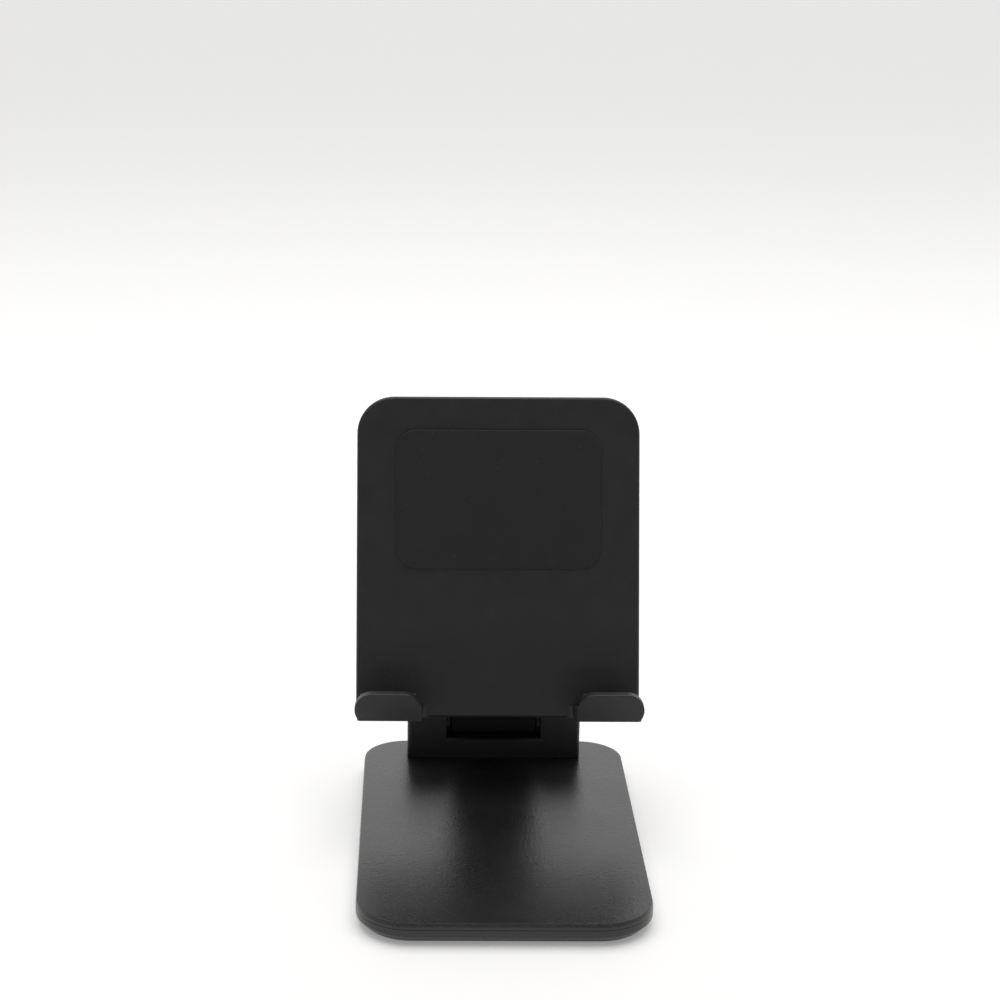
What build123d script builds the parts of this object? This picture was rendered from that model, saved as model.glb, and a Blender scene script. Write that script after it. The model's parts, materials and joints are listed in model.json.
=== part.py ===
from build123d import *
import os
from math import cos, radians, sin

# Folding desk stand for a phone. A weighted base carries a hinge block at its rear
# edge. A short arm turns in the block's slot, and a cradle with two hooks turns on the
# arm's upper end. Millimetres, +Z up, +Y towards the rear, origin at the middle of the
# footprint on the desk.

os.makedirs("parts", exist_ok=True)

# ---------------------------------------------------------------- base
base_width = 66.0
base_depth = 104.0
base_top = 5.4
front_corner = 12.5
rear_corner = 11.0
shell_bottom = 0.3
seam_height = 3.85
bottom_bevel = 2.0
rim_inset = 0.2
rim_drop = 0.85
seam_chamfer = 0.1
base_wall = 1.5
skin = 1.2
floor_top = 2.0
pad_top = 0.8
pad_inset = 3.6
ballast_size = (59.0, 76.0, 2.0)
ballast_corner = 3.0
ballast_y = -1.5
boss_radius = 2.8
boss_split = 2.9
front_boss = (25.5, -44.5)
rear_boss = (26.3, 45.0)
base_screw_radius = 1.0
base_screw_head = (1.8, 1.0)
base_screw_tip = 4.7

# ---------------------------------------------------------------- hinge block
block_width = 44.0
block_height = 11.6
block_front = 40.1
block_back = 49.7
block_edge = 0.9
block_top_edge = 0.7
slot_width = 24.0
slot_sill = 5.2
slot_wall = 2.0
slot_chamfer = 0.5
block_screw_x = 16.0
block_screw_radius = 1.1
block_screw_head = (2.2, 0.95)
block_screw_tip = 10.3

# ---------------------------------------------------------------- arm
arm_pivot = (44.8, base_top + 8.1)
arm_length = 45.5
arm_lean = 17.0
arm_width = 22.0
arm_thickness = 5.5
arm_edge = 0.8
cavity_size = (15.6, 26.0)
cavity_depth = 3.4
cover_size = (17.6, 31.0)
cover_thickness = 1.0
cover_corner = 2.0
cover_gap = 0.08
cover_chamfer = 0.2
cover_screw_spacing = 22.4
cover_screw_radius = 0.8
cover_screw_head = (1.5, 0.55)
cover_screw_length = 2.9
cover_boss_radius = 1.9

# ---------------------------------------------------------------- hinge hardware
running_gap = 0.05
axial_gap = 0.05
nut_bore_gap = 0.02
pin_radius = 1.0
pin_head = (2.0, 1.7)
pin_nut = (2.0, 1.6)
pocket_radius = 2.45
pocket_depth = 3.4
spring_radius = 2.2
spring_thickness = 0.4
friction_radius = 2.65
cap_thickness = 0.9
cap_gap = 0.03
cap_chamfer = 0.2

# ---------------------------------------------------------------- cradle
cradle_lean = 17.0
cradle_offset = 3.9
plate_width = 68.8
plate_drop = 33.9
plate_rise = 44.0
plate_thickness = 3.0
plate_top_corner = 9.0
plate_bottom_corner = 2.0
plate_edge = 0.8
lug_inner = 11.8
lug_width = 6.5
lug_radius = 4.2
lug_flare = 1.0
relief_margin = 4.0
relief_depth = 0.6
hook_inner = 18.5
hook_outer = 34.4
shelf_thickness = 3.0
shelf_outer = 33.8
lip_front = 18.9
lip_flare = 22.0
lip_length = 6.9
lip_thickness = 2.2
lip_corner = 4.19
lip_height = 8.4
lip_edge = 0.35
hook_root = 1.0
root_radius = 1.7
back_pad_size = (50.0, 34.0)
back_pad_centre = 19.0
back_pad_corner = 5.0
pad_pocket = 0.4
back_pad_thickness = 1.0
pad_edge = 0.4
hook_pad_thickness = 0.9
hook_pad_margin = 1.3
hook_pad_lip = 3.6

# ---------------------------------------------------------------- derived places
arm_tip = (
    arm_pivot[0] - arm_length * sin(radians(arm_lean)),
    arm_pivot[1] + arm_length * cos(radians(arm_lean)),
)
arm_plane = Plane(
    origin=(0, *arm_pivot),
    x_dir=(1, 0, 0),
    z_dir=(0, -cos(radians(arm_lean)), -sin(radians(arm_lean))),
)
cradle_plane = Plane(
    origin=(0, *arm_tip),
    x_dir=(1, 0, 0),
    z_dir=(0, -cos(radians(cradle_lean)), sin(radians(cradle_lean))),
)
plate_front = cradle_offset + plate_thickness
plate_bottom = -plate_drop
shelf_top = plate_bottom + shelf_thickness


def cradle_point(up, out):
    """A point of the cradle's middle plane: up the plate, out towards the phone."""
    return cradle_plane.from_local_coords(Vector(0, up, out))


def side_plane(plane, x):
    """The plane across X at x, drawn as (up, out) in the given part's own plane."""
    return Plane(origin=plane.from_local_coords(Vector(x, 0, 0)), x_dir=plane.y_dir, z_dir=(1, 0, 0))


def axis_plane(pivot, x):
    """The plane across X at x, centred on a pivot axis."""
    return Plane(origin=(x, *pivot), x_dir=(0, 1, 0), z_dir=(1, 0, 0))


def finish(builder, name):
    """Name a finished piece and write it out."""
    builder.part.label = name
    export_step(builder.part, f"parts/{name}.step")


def base_outline(inset):
    """The base's outline, drawn inset from its widest line."""
    with BuildSketch() as outline:
        Rectangle(base_width - 2 * inset, base_depth - 2 * inset)
        fillet(outline.vertices().group_by(Axis.Y)[0], front_corner - inset)
        fillet(outline.vertices().group_by(Axis.Y)[-1], rear_corner - inset)
    return outline.sketch


boss_places = [(side * x, y) for x, y in (front_boss, rear_boss) for side in (-1, 1)]
block_middle = (block_front + block_back) / 2
block_screw_places = [(side * block_screw_x, block_middle) for side in (-1, 1)]

# ================================================================ base pieces
with BuildPart() as base_top_shell:
    with BuildSketch(Plane.XY.offset(seam_height)):
        add(base_outline(0))
    extrude(amount=base_top - seam_height)
    top_face = base_top_shell.faces().sort_by(Axis.Z)[-1]
    chamfer(top_face.edges(), rim_inset, rim_drop, reference=top_face)
    chamfer(base_top_shell.faces().sort_by(Axis.Z)[0].edges(), seam_chamfer)
    with BuildSketch(Plane.XY.offset(seam_height)):
        add(base_outline(base_wall))
    extrude(amount=base_top - skin - seam_height, mode=Mode.SUBTRACT)
    with BuildSketch(Plane.XY.offset(boss_split)):
        with Locations(*boss_places):
            Circle(boss_radius)
    extrude(amount=base_top - skin - boss_split)
    with BuildSketch(Plane.XY.offset(boss_split)):
        with Locations(*boss_places):
            Circle(base_screw_radius)
    extrude(amount=base_screw_tip - boss_split, mode=Mode.SUBTRACT)
    with BuildSketch(Plane.XY.offset(base_top - skin)):
        with Locations(*block_screw_places):
            Circle(block_screw_radius + running_gap)
    extrude(amount=skin, mode=Mode.SUBTRACT)
finish(base_top_shell, "base_top_shell")

with BuildPart() as base_bottom_shell:
    with BuildSketch(Plane.XY.offset(shell_bottom)):
        add(base_outline(0))
    extrude(amount=seam_height - shell_bottom)
    chamfer(base_bottom_shell.faces().sort_by(Axis.Z)[0].edges(), bottom_bevel)
    chamfer(base_bottom_shell.faces().sort_by(Axis.Z)[-1].edges(), seam_chamfer)
    with BuildSketch(Plane.XY.offset(floor_top)):
        add(base_outline(base_wall))
    extrude(amount=seam_height - floor_top, mode=Mode.SUBTRACT)
    with BuildSketch(Plane.XY.offset(shell_bottom)):
        add(base_outline(pad_inset))
    extrude(amount=pad_top - shell_bottom, mode=Mode.SUBTRACT)
    with BuildSketch(Plane.XY.offset(floor_top)):
        with Locations(*boss_places):
            Circle(boss_radius)
    extrude(amount=boss_split - floor_top)
    with Locations(*[Location((x, y, pad_top), (180, 0, 0)) for x, y in boss_places]):
        CounterBoreHole(
            base_screw_radius + running_gap,
            base_screw_head[0] + running_gap,
            base_screw_head[1] + axial_gap,
            depth=boss_split - pad_top,
        )
finish(base_bottom_shell, "base_bottom_shell")

with BuildPart() as ballast_plate:
    with BuildSketch(Plane.XY.offset(floor_top)):
        with Locations((0, ballast_y)):
            RectangleRounded(ballast_size[0], ballast_size[1], ballast_corner)
    extrude(amount=ballast_size[2])
finish(ballast_plate, "ballast_plate")

with BuildPart() as anti_slip_pad:
    with BuildSketch():
        add(base_outline(pad_inset + running_gap))
    extrude(amount=pad_top)
    chamfer(anti_slip_pad.faces().sort_by(Axis.Z)[0].edges(), shell_bottom / 2)
finish(anti_slip_pad, "anti_slip_pad")


def upright_screws(places, seat, tip, radius, head):
    """Screws that point up, as separate solids: a pan head below the seat, a shank above."""
    with BuildPart() as screws:
        with BuildSketch(Plane.XY.offset(seat - head[1])):
            with Locations(*places):
                Circle(head[0])
        extrude(amount=head[1])
        chamfer(screws.faces().group_by(Axis.Z)[0].edges(), head[1] / 4)
        with BuildSketch(Plane.XY.offset(seat)):
            with Locations(*places):
                Circle(radius)
        extrude(amount=tip - seat)
        chamfer(screws.faces().group_by(Axis.Z)[-1].edges(), radius / 3)
        with BuildSketch(Plane.XY.offset(seat - head[1])):
            with Locations(*places):
                Rectangle(head[0], head[0] / 4)
                Rectangle(head[0] / 4, head[0])
        extrude(amount=head[1] / 2, mode=Mode.SUBTRACT)
    return screws


base_screws = upright_screws(
    boss_places, pad_top + base_screw_head[1] + axial_gap, base_screw_tip, base_screw_radius, base_screw_head
)
finish(base_screws, "base_screws")
block_screws = upright_screws(
    block_screw_places, base_top - skin, block_screw_tip, block_screw_radius, block_screw_head
)
finish(block_screws, "block_screws")

# ================================================================ hinge block
with BuildPart() as hinge_block:
    with BuildSketch(Plane.XY.offset(base_top)):
        with Locations((0, block_middle)):
            RectangleRounded(block_width, block_back - block_front, block_edge)
    extrude(amount=block_height)
    fillet(hinge_block.faces().sort_by(Axis.Z)[-1].edges(), block_top_edge)
    with BuildSketch(Plane.XY.offset(base_top + slot_sill)):
        with Locations((0, block_front)):
            Rectangle(slot_width, block_back - slot_wall - block_front, align=(Align.CENTER, Align.MIN))
    extrude(amount=block_height, mode=Mode.SUBTRACT)
    front_edges = hinge_block.faces().sort_by(Axis.Y)[0].edges()
    above_base = front_edges.filter_by_position(
        Axis.Z, base_top + slot_sill / 2, base_top + block_height - block_edge
    )
    chamfer(above_base.filter_by_position(Axis.X, -slot_width / 2, slot_width / 2), slot_chamfer)
    with BuildSketch(axis_plane(arm_pivot, -block_width / 2)):
        Circle(pin_radius + running_gap)
    extrude(amount=block_width, mode=Mode.SUBTRACT)
    for side in (-1, 1):
        with BuildSketch(axis_plane(arm_pivot, side * block_width / 2)):
            Circle(pocket_radius)
        extrude(amount=-side * pocket_depth, mode=Mode.SUBTRACT)
    with BuildSketch(Plane.XY.offset(base_top)):
        with Locations(*block_screw_places):
            Circle(block_screw_radius)
    extrude(amount=block_screw_tip - base_top, mode=Mode.SUBTRACT)
finish(hinge_block, "hinge_block")


# ================================================================ hinge hardware
def hinge_pin(pivot, radius, head, head_x, tip_x):
    """A hinge screw along X: a round head on the left, its shank running to the right."""
    with BuildPart() as pin:
        with BuildSketch(axis_plane(pivot, head_x)):
            Circle(head[0])
        extrude(amount=-head[1])
        chamfer(pin.faces().sort_by(Axis.X)[0].edges(), head[1] / 5)
        with BuildSketch(axis_plane(pivot, head_x - head[1])):
            RegularPolygon(head[0] / 2, 6)
        extrude(amount=head[1] / 2, mode=Mode.SUBTRACT)
        with BuildSketch(axis_plane(pivot, head_x)):
            Circle(radius)
        extrude(amount=tip_x - head_x)
        chamfer(pin.faces().sort_by(Axis.X)[-1].edges(), radius / 5)
    return pin


def hinge_nut(pivot, radius, size, x):
    """A hexagon nut on the pin's right end, its bore a running fit on the shank."""
    with BuildPart() as nut:
        with BuildSketch(axis_plane(pivot, x)):
            RegularPolygon(size[0], 6, major_radius=False)
            Circle(radius + nut_bore_gap, mode=Mode.SUBTRACT)
        extrude(amount=size[1])
    return nut


def washer_pair(pivot, bore, rim, inner_x, thickness):
    """Two washers on one axis, one each side of the middle, from inner_x outwards."""
    with BuildPart() as washers:
        for side in (-1, 1):
            with BuildSketch(axis_plane(pivot, side * inner_x)):
                Circle(rim)
                Circle(bore, mode=Mode.SUBTRACT)
            extrude(amount=side * thickness)
    return washers


def hinge_cap(pivot, radius, outer_x, side):
    """A round plug that closes a hinge pocket, its rim slightly chamfered."""
    with BuildPart() as cap:
        with BuildSketch(axis_plane(pivot, side * outer_x)):
            Circle(radius - cap_gap)
        extrude(amount=-side * cap_thickness)
        outer_face = cap.faces().sort_by(Axis.X)[-1 if side > 0 else 0]
        chamfer(outer_face.edges(), cap_chamfer)
    return cap


lower_seat = block_width / 2 - pocket_depth
lower_stack = lower_seat + spring_thickness + axial_gap
base_hinge_pin = hinge_pin(arm_pivot, pin_radius, pin_head, -lower_stack, lower_stack + pin_nut[1])
finish(base_hinge_pin, "base_hinge_pin")
base_hinge_nut = hinge_nut(arm_pivot, pin_radius, pin_nut, lower_stack)
finish(base_hinge_nut, "base_hinge_nut")
base_hinge_springs = washer_pair(
    arm_pivot, pin_radius + running_gap, spring_radius, lower_seat, spring_thickness
)
finish(base_hinge_springs, "base_hinge_springs")
base_hinge_washers = washer_pair(
    arm_pivot,
    pin_radius + running_gap,
    friction_radius,
    arm_width / 2 + axial_gap,
    (slot_width - arm_width) / 2 - 2 * axial_gap,
)
finish(base_hinge_washers, "base_hinge_washers")
for side, word in ((-1, "left"), (1, "right")):
    finish(hinge_cap(arm_pivot, pocket_radius, block_width / 2, side), f"block_cap_{word}")

upper_seat = lug_inner + lug_width - pocket_depth
upper_stack = upper_seat + spring_thickness + 2 * axial_gap
cradle_hinge_pin = hinge_pin(arm_tip, pin_radius, pin_head, -upper_stack, upper_stack + pin_nut[1])
finish(cradle_hinge_pin, "cradle_hinge_pin")
cradle_hinge_nut = hinge_nut(arm_tip, pin_radius, pin_nut, upper_stack)
finish(cradle_hinge_nut, "cradle_hinge_nut")
cradle_hinge_springs = washer_pair(
    arm_tip, pin_radius + running_gap, spring_radius, upper_seat + axial_gap, spring_thickness
)
finish(cradle_hinge_springs, "cradle_hinge_springs")
cradle_hinge_washers = washer_pair(
    arm_tip,
    pin_radius + running_gap,
    friction_radius,
    arm_width / 2 + axial_gap,
    lug_inner - arm_width / 2 - 2 * axial_gap,
)
finish(cradle_hinge_washers, "cradle_hinge_washers")
for side, word in ((-1, "left"), (1, "right")):
    finish(hinge_cap(arm_tip, pocket_radius, lug_inner + lug_width, side), f"cradle_cap_{word}")

# ================================================================ arm
arm_middle = arm_length / 2
arm_back = -arm_thickness / 2
cover_screw_places = [(0, arm_middle + side * cover_screw_spacing / 2) for side in (-1, 1)]

with BuildPart() as arm:
    with BuildSketch(side_plane(arm_plane, -arm_width / 2)):
        with Locations((arm_middle, 0)):
            SlotCenterToCenter(arm_length, arm_thickness)
    extrude(amount=arm_width)
    end_faces = arm.faces().filter_by(Axis.X)
    fillet(end_faces.edges(), arm_edge)
    with BuildSketch(arm_plane.offset(arm_back)):
        with Locations((0, arm_middle)):
            RectangleRounded(cover_size[0], cover_size[1], cover_corner)
    extrude(amount=cover_thickness, mode=Mode.SUBTRACT)
    with BuildSketch(arm_plane.offset(arm_back + cover_thickness)):
        with Locations((0, arm_middle)):
            RectangleRounded(cavity_size[0], cavity_size[1], cover_corner)
        with Locations(*cover_screw_places):
            Circle(cover_boss_radius, mode=Mode.SUBTRACT)
    extrude(amount=cavity_depth - cover_thickness, mode=Mode.SUBTRACT)
    with BuildSketch(arm_plane.offset(arm_back)):
        with Locations(*cover_screw_places):
            Circle(cover_screw_radius)
    extrude(amount=cover_screw_length + cover_screw_head[1], mode=Mode.SUBTRACT)
    for pivot in (arm_pivot, arm_tip):
        with BuildSketch(axis_plane(pivot, -arm_width / 2)):
            Circle(pin_radius + running_gap)
        extrude(amount=arm_width, mode=Mode.SUBTRACT)
finish(arm, "arm")

with BuildPart() as arm_rear_cover:
    with BuildSketch(arm_plane.offset(arm_back)):
        with Locations((0, arm_middle)):
            RectangleRounded(cover_size[0] - 2 * cover_gap, cover_size[1] - 2 * cover_gap, cover_corner)
    extrude(amount=cover_thickness)
    chamfer(arm_rear_cover.faces().filter_by(arm_plane).sort_by(Axis.Y)[-1].edges(), cover_chamfer)
    with BuildSketch(arm_plane.offset(arm_back)):
        with Locations(*cover_screw_places):
            Circle(cover_screw_head[0] + running_gap)
    extrude(amount=cover_screw_head[1], mode=Mode.SUBTRACT)
    with BuildSketch(arm_plane.offset(arm_back)):
        with Locations(*cover_screw_places):
            Circle(cover_screw_radius + running_gap)
    extrude(amount=cover_thickness, mode=Mode.SUBTRACT)
finish(arm_rear_cover, "arm_rear_cover")

with BuildPart() as cover_screws:
    with BuildSketch(arm_plane.offset(arm_back)):
        with Locations(*cover_screw_places):
            Circle(cover_screw_head[0])
    extrude(amount=cover_screw_head[1])
    with BuildSketch(arm_plane.offset(arm_back + cover_screw_head[1])):
        with Locations(*cover_screw_places):
            Circle(cover_screw_radius)
    extrude(amount=cover_screw_length)
    with BuildSketch(arm_plane.offset(arm_back)):
        with Locations(*cover_screw_places):
            Rectangle(cover_screw_head[0], cover_screw_head[0] / 4)
            Rectangle(cover_screw_head[0] / 4, cover_screw_head[0])
    extrude(amount=cover_screw_head[1] / 2, mode=Mode.SUBTRACT)
finish(cover_screws, "cover_screws")

# ================================================================ cradle
lip_plane = Plane(
    origin=cradle_point(plate_bottom, lip_front),
    x_dir=(1, 0, 0),
    z_dir=cradle_plane.z_dir.rotate(Axis.X, lip_flare),
)
root_plane = Plane(
    origin=cradle_point(plate_bottom, 0), x_dir=cradle_plane.x_dir, z_dir=cradle_plane.y_dir
)
plate_middle = (plate_rise - plate_drop) / 2
lip_middle = lip_length - lip_height / 2
hook_middle = (hook_inner + hook_outer) / 2


def hook_lip(side):
    """One hook's upturned lip, running on below the shelf for the trim to cut."""
    with BuildPart() as lip:
        with BuildSketch(lip_plane) as outline:
            with Locations((side * hook_middle, lip_middle)):
                Rectangle(hook_outer - hook_inner, lip_height)
            by_reach = outline.vertices().sort_by(Axis.X, reverse=side > 0)
            inner_top = by_reach[2:].sort_by(Axis.Y)[-1]
            fillet([*by_reach[:2], inner_top], lip_corner)
        extrude(amount=-lip_thickness)
        fillet(lip.faces().filter_by(lip_plane).edges(), lip_edge)
    return lip.part


with BuildPart() as cradle_plate:
    with BuildSketch(cradle_plane.offset(cradle_offset)) as plate_outline:
        with Locations((0, plate_middle)):
            Rectangle(plate_width, plate_rise + plate_drop)
        fillet(plate_outline.vertices().group_by(Axis.Y)[-1], plate_top_corner)
        fillet(plate_outline.vertices().group_by(Axis.Y)[0], plate_bottom_corner)
    extrude(amount=plate_thickness)
    fillet(cradle_plate.faces().filter_by(cradle_plane).edges(), plate_edge)
    with BuildSketch(cradle_plane.offset(cradle_offset)):
        with Locations((0, plate_middle)):
            RectangleRounded(
                plate_width - 2 * relief_margin,
                plate_rise + plate_drop - 2 * relief_margin,
                plate_top_corner - relief_margin,
            )
    extrude(amount=relief_depth, mode=Mode.SUBTRACT)
    with BuildSketch(cradle_plane.offset(plate_front - pad_pocket)):
        with Locations((0, back_pad_centre)):
            RectangleRounded(*back_pad_size, back_pad_corner)
    extrude(amount=pad_pocket, mode=Mode.SUBTRACT)
    for side in (-1, 1):
        with BuildSketch(side_plane(cradle_plane, side * lug_inner)):
            Circle(lug_radius)
            Polygon(
                (-lug_radius, 0),
                (lug_radius, 0),
                (lug_radius + lug_flare, cradle_offset + plate_thickness / 2),
                (-lug_radius - lug_flare, cradle_offset + plate_thickness / 2),
                align=None,
            )
        extrude(amount=side * lug_width)
        with BuildSketch(axis_plane(arm_tip, side * lug_inner)):
            Circle(pin_radius + running_gap)
        extrude(amount=side * lug_width, mode=Mode.SUBTRACT)
        with BuildSketch(axis_plane(arm_tip, side * (lug_inner + lug_width))):
            Circle(pocket_radius)
        extrude(amount=-side * pocket_depth, mode=Mode.SUBTRACT)
    for side in (-1, 1):
        with BuildSketch(side_plane(cradle_plane, side * hook_inner)):
            Polygon(
                (plate_bottom, plate_front - hook_root),
                (plate_bottom, lip_front - hook_root),
                (shelf_top, lip_front - hook_root),
                (shelf_top, plate_front - hook_root),
                align=None,
            )
        extrude(amount=side * (shelf_outer - hook_inner))
        with BuildSketch(root_plane):
            with Locations((side * hook_inner, -plate_front - root_radius)):
                Rectangle(2 * root_radius, root_radius + hook_root, align=(Align.CENTER, Align.MIN))
            with Locations((side * (hook_inner - root_radius), -plate_front - root_radius)):
                Circle(root_radius, mode=Mode.SUBTRACT)
        extrude(amount=shelf_thickness)
        add(hook_lip(side))
    with BuildSketch(cradle_plane):
        with Locations((0, plate_bottom)):
            Rectangle(2 * plate_width, 2 * lip_height, align=(Align.CENTER, Align.MAX))
    extrude(amount=2 * lip_front, mode=Mode.SUBTRACT)
finish(cradle_plate, "cradle_plate")

with BuildPart() as back_pad:
    with BuildSketch(cradle_plane.offset(plate_front - pad_pocket)):
        with Locations((0, back_pad_centre)):
            RectangleRounded(
                back_pad_size[0] - 2 * running_gap,
                back_pad_size[1] - 2 * running_gap,
                back_pad_corner,
            )
    extrude(amount=back_pad_thickness)
    fillet(back_pad.faces().filter_by(cradle_plane).sort_by(Axis.Y)[0].edges(), pad_edge)
finish(back_pad, "back_pad")

flare_cos = cos(radians(lip_flare))
flare_sin = sin(radians(lip_flare))
lip_rise = (shelf_thickness - lip_thickness * flare_sin) / flare_cos
lip_inner = lip_front - lip_thickness * flare_cos + lip_rise * flare_sin
corner_rise = hook_pad_thickness * (1 - flare_sin) / flare_cos


def hook_pad(side):
    """A soft liner along one hook's shelf and up the inside of its lip."""
    with BuildPart() as pad:
        with BuildSketch(side_plane(cradle_plane, side * (hook_inner + hook_pad_margin))):
            Polygon(
                (shelf_top, plate_front),
                (shelf_top, lip_inner),
                (shelf_top + hook_pad_lip * flare_cos, lip_inner + hook_pad_lip * flare_sin),
                (
                    shelf_top + hook_pad_lip * flare_cos + hook_pad_thickness * flare_sin,
                    lip_inner + hook_pad_lip * flare_sin - hook_pad_thickness * flare_cos,
                ),
                (
                    shelf_top + hook_pad_thickness,
                    lip_inner - hook_pad_thickness * flare_cos + corner_rise * flare_sin,
                ),
                (shelf_top + hook_pad_thickness, plate_front),
                align=None,
            )
        extrude(amount=side * (hook_outer - hook_inner - 2 * hook_pad_margin))
    return pad


for side, word in ((-1, "left"), (1, "right")):
    finish(hook_pad(side), f"hook_pad_{word}")
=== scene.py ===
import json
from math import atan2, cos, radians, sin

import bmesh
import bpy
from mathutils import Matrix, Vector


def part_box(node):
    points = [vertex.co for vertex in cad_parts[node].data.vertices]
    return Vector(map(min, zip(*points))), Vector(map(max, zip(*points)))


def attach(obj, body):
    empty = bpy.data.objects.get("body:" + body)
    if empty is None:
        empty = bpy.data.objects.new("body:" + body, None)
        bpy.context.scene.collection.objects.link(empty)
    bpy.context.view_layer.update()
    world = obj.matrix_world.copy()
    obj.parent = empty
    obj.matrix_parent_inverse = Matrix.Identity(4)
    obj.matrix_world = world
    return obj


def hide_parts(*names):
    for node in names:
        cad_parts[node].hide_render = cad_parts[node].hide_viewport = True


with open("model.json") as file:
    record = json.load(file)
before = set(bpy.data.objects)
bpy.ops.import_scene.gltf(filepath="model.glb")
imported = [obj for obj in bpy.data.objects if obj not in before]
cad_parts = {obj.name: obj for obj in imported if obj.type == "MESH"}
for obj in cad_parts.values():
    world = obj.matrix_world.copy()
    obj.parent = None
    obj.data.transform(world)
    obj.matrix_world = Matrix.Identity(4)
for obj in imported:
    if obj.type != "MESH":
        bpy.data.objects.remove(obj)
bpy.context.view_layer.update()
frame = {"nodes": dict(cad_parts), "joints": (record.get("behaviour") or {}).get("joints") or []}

# %% [markdown]
# # A folding phone stand, piece by piece
# The stand has a heavy base of two moulded shells, a hinge block, a short arm and a
# cradle with two hooks. The loaded frame already holds every piece at its real size in
# metres, grouped by the body that it moves with. This lesson dresses those pieces: it
# gives them softened edges, moulded detail and the finish of the real material.
# The finished model has to stay inside it.

MM = 0.001
nodes = frame["nodes"]


# %% [markdown]
# ## Node trees with one helper
# Materials and Geometry Nodes are both trees of nodes. Writing each one as five lines
# hides what the tree does, so one small function adds a node, sets its options, and
# either links or sets each of its inputs. Every tree below is built with it.

# %% One function for every node
def put(tree, kind, inputs=None, **settings):
    """Add one node with its settings; a socket among the inputs is linked, a value is set."""
    made = tree.nodes.new(kind)
    for key, value in settings.items():
        setattr(made, key, value)
    for key, value in (inputs or {}).items():
        if isinstance(value, bpy.types.NodeSocket):
            tree.links.new(value, made.inputs[key])
        else:
            made.inputs[key].default_value = value
    return made


# %% [markdown]
# ## Colours as people write them
# A finish is easiest to note down as an sRGB hex value, but a shader works in linear
# light. One function turns the first into the second with the standard sRGB curve.

# %% From hex to linear
def linear(hex_value):
    """A colour such as 1A1A1C as linear RGBA."""
    channels = [int(hex_value[i : i + 2], 16) / 255 for i in (0, 2, 4)]
    curve = [c / 12.92 if c <= 0.04045 else ((c + 0.055) / 1.055) ** 2.4 for c in channels]
    return (*curve, 1.0)


print("black ABS in linear light", [round(c, 4) for c in linear("1A1A1C")[:3]])


# %% [markdown]
# ## The parts that all finishes share
# Every material starts from the object's own coordinates, so the pattern is in metres
# and stays with the piece when it moves. A grain is a noise or a cell pattern, and its
# scale is one over the size of a grain. A bump then turns the pattern into relief, with
# a real height in metres. Noise seldom leaves the middle of its range, so its busy part,
# from 0.3 to 0.7, is what gets mapped onto a range of roughness or a blend of colours.

# %% A blank material
BUSY = {"From Min": 0.3, "From Max": 0.7}


def start_material(name):
    """A material with only its shader and output; returns (material, tree, shader, place)."""
    material = bpy.data.materials.new(name)
    material.use_nodes = True
    tree = material.node_tree
    tree.nodes.clear()
    shader = put(tree, "ShaderNodeBsdfPrincipled")
    put(tree, "ShaderNodeOutputMaterial", {"Surface": shader.outputs["BSDF"]})
    place = put(tree, "ShaderNodeTexCoord").outputs["Object"]
    return material, tree, shader, place


# %% [markdown]
# ## Moulded ABS with a spark-eroded texture
# The shells, block, arm and cradle are black ABS. The steel mould is spark-eroded, so
# the plastic comes out with tiny rounded pits about a third of a millimetre across, and
# a satin shine. Where the plastic flowed and cooled unevenly the shine drifts a little,
# and handling leaves faint paler scuffs. Four layers make that: a cell pattern for the
# pits, a finer noise for the skin between them, a broad noise for the drift and another
# for the scuffs. A real pit is too fine to show at this distance, so the pits of the base
# are drawn about twice as coarse as they are, and those of the block, arm and cradle a
# third coarser. Only the small caps have theirs at about the real size.

# %% The moulded ABS family
SCUFF_STRENGTH = 0.1


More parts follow.
